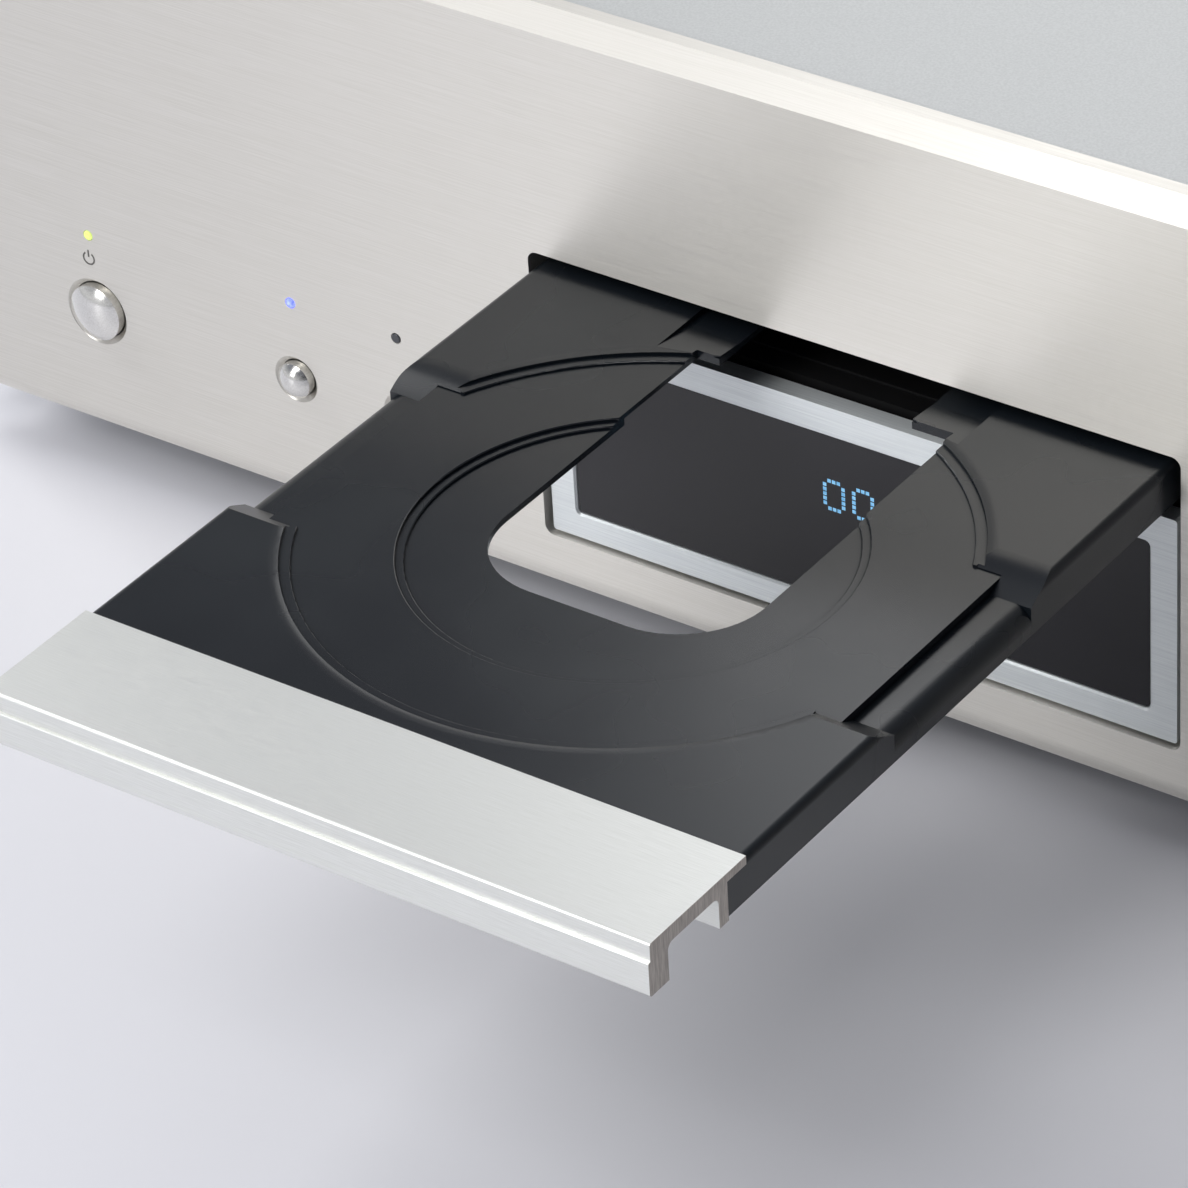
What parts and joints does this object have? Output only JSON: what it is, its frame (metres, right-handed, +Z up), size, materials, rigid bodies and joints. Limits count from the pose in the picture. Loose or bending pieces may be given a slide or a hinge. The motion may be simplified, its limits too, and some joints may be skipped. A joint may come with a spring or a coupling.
{
  "type": "disc player",
  "caption": "Full-size hi-fi disc player with a thick metal front panel, a motor-driven disc tray shown open, a display window, round push buttons and rear sockets.",
  "frame": {"origin": "middle of the footprint with the tray open, on the surface that the feet stand on", "axes": "+Z up, the front panel and the open tray face -Y, +X to the right seen from the front"},
  "size_m": [0.434, 0.4972, 0.137],
  "materials": {
    "front_aluminium": "fine hairline, champagne silver anodised",
    "bezel_aluminium": "hairline brushed",
    "lip_aluminium": "hairline brushed",
    "smoked_acrylic": "smoked, polished",
    "black_abs": "satin moulded",
    "black_polymer": "moulded",
    "display_glass": "dark cell",
    "lamp_plastic": "clear light pipe",
    "polished_aluminium": "turned and polished",
    "zinc_steel": "zinc plated sheet",
    "painted_steel": "fine texture paint, silver",
    "rear_paint": "fine texture paint, black",
    "foot_plastic": "moulded",
    "pad_rubber": "plain",
    "screw_steel": "blackened",
    "gold_brass": "gold plated",
    "circuit_board": "solder mask",
    "gear_acetal": "natural acetal",
    "belt_rubber": "moulded",
    "motor_steel": "plated can",
    "rod_steel": "ground",
    "turntable_plastic": "moulded with a rubber ring",
    "puck_plastic": "moulded",
    "lens_glass": "coated",
    "core_steel": "varnished laminations",
    "coil_tape": "copper coil under yellow tape",
    "capacitor_sleeve": "shrink sleeve",
    "sink_aluminium": "extruded",
    "ribbon_vinyl": "flat cable"
  },
  "bodies": {
    "case": {"front_panel": "front_aluminium", "display_bezel": "bezel_aluminium", "display_window": "smoked_acrylic", "display_holder": "black_polymer", "display_module": "display_glass", "slot_liner": "black_polymer", "power_lamp": "lamp_plastic", "layer_lamp": "lamp_plastic", "direct_lamp": "lamp_plastic", "front_subframe": "zinc_steel", "control_boards": "circuit_board", "feet": "foot_plastic", "foot_pads": "pad_rubber", "bottom_pan": "zinc_steel", "rear_panel": "rear_paint", "socket_contacts": "gold_brass", "socket_blocks": "black_polymer", "mains_inlet": "black_polymer", "top_cover": "painted_steel", "case_screws": "screw_steel", "mech_base": "black_polymer", "mech_brackets": "zinc_steel", "loading_motor": "motor_steel", "drive_belt": "belt_rubber", "clamp_bridge": "zinc_steel", "transformer_cores": "core_steel", "transformer_windings": "coil_tape", "power_board": "circuit_board", "audio_board": "circuit_board", "servo_board": "circuit_board", "capacitors": "capacitor_sleeve", "heat_sink": "sink_aluminium", "ribbon_cables": "ribbon_vinyl"},
    "tray": {"tray": "black_abs", "tray_lip": "lip_aluminium", "lip_screws": "screw_steel"},
    "drive_gear": {"drive_gear": "gear_acetal"},
    "pulley_gear": {"pulley_gear": "gear_acetal"},
    "motor_pulley": {"motor_pulley": "gear_acetal"},
    "clamp": {"clamp_puck": "puck_plastic"},
    "traverse": {"traverse_frame": "black_polymer", "spindle_motor": "motor_steel", "guide_rods": "rod_steel", "sled_motor": "motor_steel"},
    "turntable": {"turntable": "turntable_plastic"},
    "sled": {"pickup_sled": "motor_steel"},
    "lens": {"lens_holder": "black_polymer", "objective_lens": "lens_glass"},
    "sled_gear": {"sled_gear": "gear_acetal"},
    "sled_pinion": {"sled_pinion": "gear_acetal"},
    "cam": {"cam_slider": "gear_acetal"},
    "power_button": {"power_button": "polished_aluminium"},
    "layer_button": {"layer_button": "polished_aluminium"},
    "direct_button": {"direct_button": "polished_aluminium"},
    "open_button": {"open_button": "polished_aluminium"},
    "play_button": {"play_button": "polished_aluminium"},
    "pause_button": {"pause_button": "polished_aluminium"},
    "stop_button": {"stop_button": "polished_aluminium"},
    "skip_back_button": {"skip_back_button": "polished_aluminium"},
    "skip_forward_button": {"skip_forward_button": "polished_aluminium"}
  },
  "joints": [
    {"name": "tray_slide", "type": "slide", "parent": "case", "child": "tray", "axis": [0, 1, 0], "range_m": [0, 0.1602]},
    {"name": "drive_gear_spin", "type": "hinge", "parent": "case", "child": "drive_gear", "pos_m": [0.035, -0.0429, 0.076], "axis": [0, 0, 1], "range_deg": [0, 613]},
    {"name": "pulley_gear_spin", "type": "hinge", "parent": "case", "child": "pulley_gear", "pos_m": [0.01503, -0.04939, 0.076], "axis": [0, 0, 1], "range_deg": [-1531, 0]},
    {"name": "motor_pulley_spin", "type": "hinge", "parent": "case", "child": "motor_pulley", "pos_m": [-0.02797, -0.05089, 0.075], "axis": [0, 0, 1], "range_deg": [-4974, 0]},
    {"name": "traverse_lift", "type": "hinge", "parent": "case", "child": "traverse", "pos_m": [0, 0.1041, 0.062], "axis": [-1, 0, 0], "range_deg": [0, 4.45]},
    {"name": "cam_slide", "type": "slide", "parent": "case", "child": "cam", "axis": [1, 0, 0], "range_m": [0, 0.0221]},
    {"name": "turntable_spin", "type": "hinge", "parent": "traverse", "child": "turntable", "pos_m": [0, 0.00365, 0.07676], "axis": [0, -0.0775, 0.997], "continuous": true},
    {"name": "clamp_spin", "type": "hinge", "parent": "case", "child": "clamp", "pos_m": [0, 0.0051, 0.0885], "axis": [0, 0, 1], "continuous": true},
    {"name": "pickup_slide", "type": "slide", "parent": "traverse", "child": "sled", "axis": [0, 0.997, 0.0775], "range_m": [0, 0.034]},
    {"name": "sled_gear_spin", "type": "hinge", "parent": "traverse", "child": "sled_gear", "pos_m": [-0.0422, 0.06182, 0.06272], "axis": [0, -0.0775, 0.997], "range_deg": [0, 465]},
    {"name": "sled_pinion_spin", "type": "hinge", "parent": "traverse", "child": "sled_pinion", "pos_m": [-0.0422, 0.07438, 0.0637], "axis": [0, -0.0775, 0.997], "range_deg": [-1486, 0]},
    {"name": "lens_focus", "type": "slide", "parent": "sled", "child": "lens", "axis": [0, -0.0775, 0.997], "range_m": [-0.0006, 0.0008], "stiffness_N_per_m": 40},
    {"name": "power_press", "type": "slide", "parent": "case", "child": "power_button", "axis": [0, 1, 0], "range_m": [0, 0.001], "stiffness_N_per_m": 300},
    {"name": "layer_press", "type": "slide", "parent": "case", "child": "layer_button", "axis": [0, 1, 0], "range_m": [0, 0.001], "stiffness_N_per_m": 300},
    {"name": "direct_press", "type": "slide", "parent": "case", "child": "direct_button", "axis": [0, 1, 0], "range_m": [0, 0.001], "stiffness_N_per_m": 300},
    {"name": "open_press", "type": "slide", "parent": "case", "child": "open_button", "axis": [0, 1, 0], "range_m": [0, 0.001], "stiffness_N_per_m": 300},
    {"name": "play_press", "type": "slide", "parent": "case", "child": "play_button", "axis": [0, 1, 0], "range_m": [0, 0.001], "stiffness_N_per_m": 300},
    {"name": "pause_press", "type": "slide", "parent": "case", "child": "pause_button", "axis": [0, 1, 0], "range_m": [0, 0.001], "stiffness_N_per_m": 300},
    {"name": "stop_press", "type": "slide", "parent": "case", "child": "stop_button", "axis": [0, 1, 0], "range_m": [0, 0.001], "stiffness_N_per_m": 300},
    {"name": "skip_back_press", "type": "slide", "parent": "case", "child": "skip_back_button", "axis": [0, 1, 0], "range_m": [0, 0.001], "stiffness_N_per_m": 300},
    {"name": "skip_forward_press", "type": "slide", "parent": "case", "child": "skip_forward_button", "axis": [0, 1, 0], "range_m": [0, 0.001], "stiffness_N_per_m": 300}
  ],
  "couplings": [
    {"joint": "drive_gear_spin", "follows": "tray_slide", "rad_per_m": 66.667},
    {"joint": "pulley_gear_spin", "follows": "tray_slide", "rad_per_m": -166.67},
    {"joint": "motor_pulley_spin", "follows": "tray_slide", "rad_per_m": -541.67},
    {"joint": "cam_slide", "follows": "traverse_lift", "m_per_rad": 0.28343},
    {"joint": "clamp_spin", "follows": "turntable_spin", "ratio": 1},
    {"joint": "sled_gear_spin", "follows": "pickup_slide", "rad_per_m": 238.1},
    {"joint": "sled_pinion_spin", "follows": "pickup_slide", "rad_per_m": -761.9}
  ]
}
